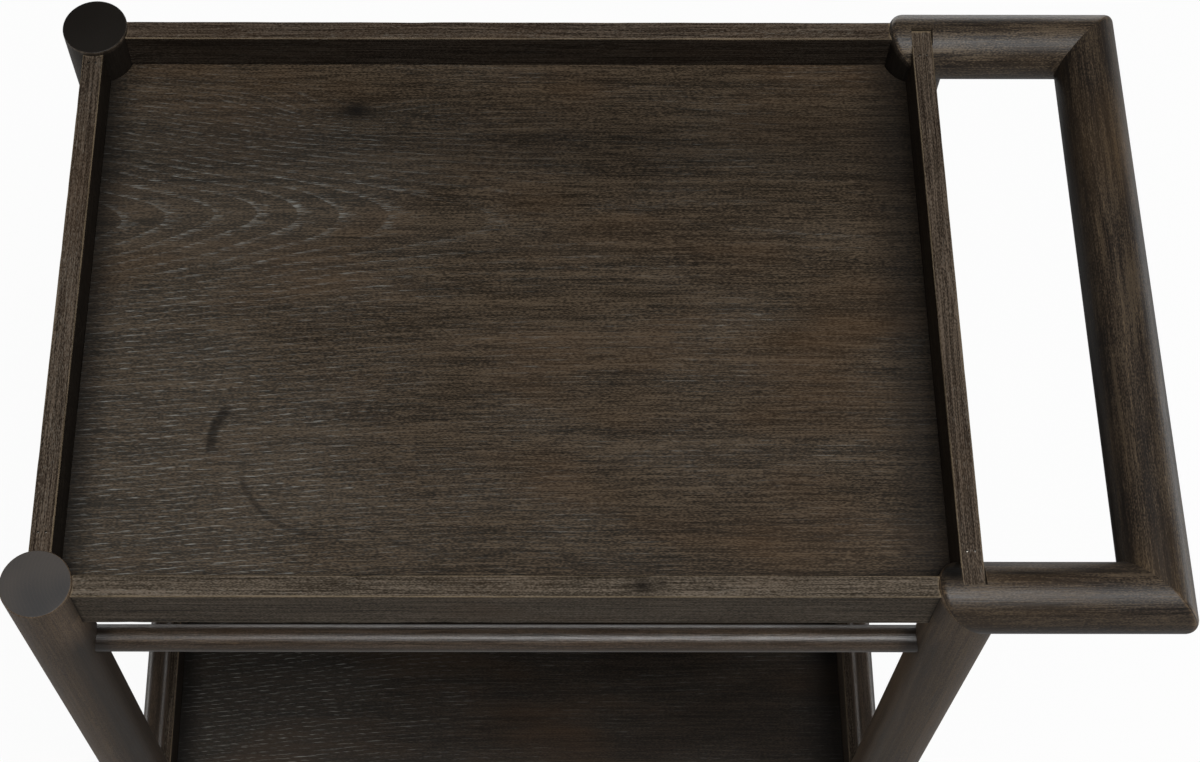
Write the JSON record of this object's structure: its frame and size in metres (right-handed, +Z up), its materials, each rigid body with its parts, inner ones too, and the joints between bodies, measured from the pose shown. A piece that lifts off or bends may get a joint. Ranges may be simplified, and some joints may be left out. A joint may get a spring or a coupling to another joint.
{
  "type": "bar cart",
  "caption": "Two-tier wooden bar cart on swivel casters, with round posts, recessed railed trays, round side rods and a mitred round push handle at one end.",
  "frame": {"origin": "on the floor under the middle of the whole cart's bounding box, which is halfway between the outer sides of the plain-end posts and of the handle's crossbar", "axes": "+X along the cart towards the handle end, +Y from the front long side to the rear one, +Z up from the floor"},
  "size_m": [0.8256, 0.515, 0.84],
  "materials": {
    "post_oak": "dark stained oak, brushed along the post, satin",
    "handle_oak": "dark stained oak, streaky, satin",
    "rail_oak": "dark stained oak with pale filled grain and worn edges",
    "panel_oak": "dark stained oak with pale filled cathedral grain",
    "rod_oak": "dark stained oak, satin",
    "dowel_beech": "bare turned beech",
    "black_steel": "black powder coat",
    "bright_steel": "zinc plated",
    "hub_nylon": "moulded black nylon",
    "tyre_rubber": "dark grey-black non-marking rubber"
  },
  "bodies": {
    "cart_frame": {"post_front_left": "post_oak", "post_rear_left": "post_oak", "post_front_right": "post_oak", "post_rear_right": "post_oak", "handle_arm_front": "handle_oak", "handle_arm_rear": "handle_oak", "handle_crossbar": "handle_oak", "handle_mitre_dowels": "dowel_beech", "upper_rail_front": "rail_oak", "upper_rail_rear": "rail_oak", "upper_rail_left": "rail_oak", "upper_rail_right": "rail_oak", "upper_panel": "panel_oak", "lower_rail_front": "rail_oak", "lower_rail_rear": "rail_oak", "lower_rail_left": "rail_oak", "lower_rail_right": "rail_oak", "lower_panel": "panel_oak", "upper_rod_front": "rod_oak", "upper_rod_rear": "rod_oak", "lower_rod_left": "rod_oak", "lower_rod_right": "rod_oak", "caster_socket_front_left": "bright_steel", "caster_stem_front_left": "bright_steel", "caster_race_front_left": "black_steel", "caster_socket_rear_left": "bright_steel", "caster_stem_rear_left": "bright_steel", "caster_race_rear_left": "black_steel", "caster_socket_front_right": "bright_steel", "caster_stem_front_right": "bright_steel", "caster_race_front_right": "black_steel", "caster_socket_rear_right": "bright_steel", "caster_stem_rear_right": "bright_steel", "caster_race_rear_right": "black_steel"},
    "swivel_front_left": {"caster_fork_front_left": "black_steel", "caster_balls_front_left": "bright_steel", "caster_axle_front_left": "bright_steel"},
    "wheel_front_left": {"caster_hub_front_left": "hub_nylon", "caster_tyre_front_left": "tyre_rubber"},
    "swivel_rear_left": {"caster_fork_rear_left": "black_steel", "caster_balls_rear_left": "bright_steel", "caster_axle_rear_left": "bright_steel"},
    "wheel_rear_left": {"caster_hub_rear_left": "hub_nylon", "caster_tyre_rear_left": "tyre_rubber"},
    "swivel_front_right": {"caster_fork_front_right": "black_steel", "caster_balls_front_right": "bright_steel", "caster_axle_front_right": "bright_steel"},
    "wheel_front_right": {"caster_hub_front_right": "hub_nylon", "caster_tyre_front_right": "tyre_rubber"},
    "swivel_rear_right": {"caster_fork_rear_right": "black_steel", "caster_balls_rear_right": "bright_steel", "caster_axle_rear_right": "bright_steel"},
    "wheel_rear_right": {"caster_hub_rear_right": "hub_nylon", "caster_tyre_rear_right": "tyre_rubber"}
  },
  "joints": [
    {"name": "caster_swivel_front_left", "type": "hinge", "parent": "cart_frame", "child": "swivel_front_left", "pos_m": [-0.38775, -0.2325, 0.065], "axis": [0, 0, 1], "continuous": true},
    {"name": "wheel_spin_front_left", "type": "hinge", "parent": "swivel_front_left", "child": "wheel_front_left", "pos_m": [-0.36575, -0.2325, 0.03], "axis": [0, 1, 0], "continuous": true},
    {"name": "caster_swivel_rear_left", "type": "hinge", "parent": "cart_frame", "child": "swivel_rear_left", "pos_m": [-0.38775, 0.2325, 0.065], "axis": [0, 0, 1], "continuous": true},
    {"name": "wheel_spin_rear_left", "type": "hinge", "parent": "swivel_rear_left", "child": "wheel_rear_left", "pos_m": [-0.36575, 0.2325, 0.03], "axis": [0, 1, 0], "continuous": true},
    {"name": "caster_swivel_front_right", "type": "hinge", "parent": "cart_frame", "child": "swivel_front_right", "pos_m": [0.25625, -0.2325, 0.065], "axis": [0, 0, 1], "continuous": true},
    {"name": "wheel_spin_front_right", "type": "hinge", "parent": "swivel_front_right", "child": "wheel_front_right", "pos_m": [0.27825, -0.2325, 0.03], "axis": [0, 1, 0], "continuous": true},
    {"name": "caster_swivel_rear_right", "type": "hinge", "parent": "cart_frame", "child": "swivel_rear_right", "pos_m": [0.25625, 0.2325, 0.065], "axis": [0, 0, 1], "continuous": true},
    {"name": "wheel_spin_rear_right", "type": "hinge", "parent": "swivel_rear_right", "child": "wheel_rear_right", "pos_m": [0.27825, 0.2325, 0.03], "axis": [0, 1, 0], "continuous": true}
  ]
}
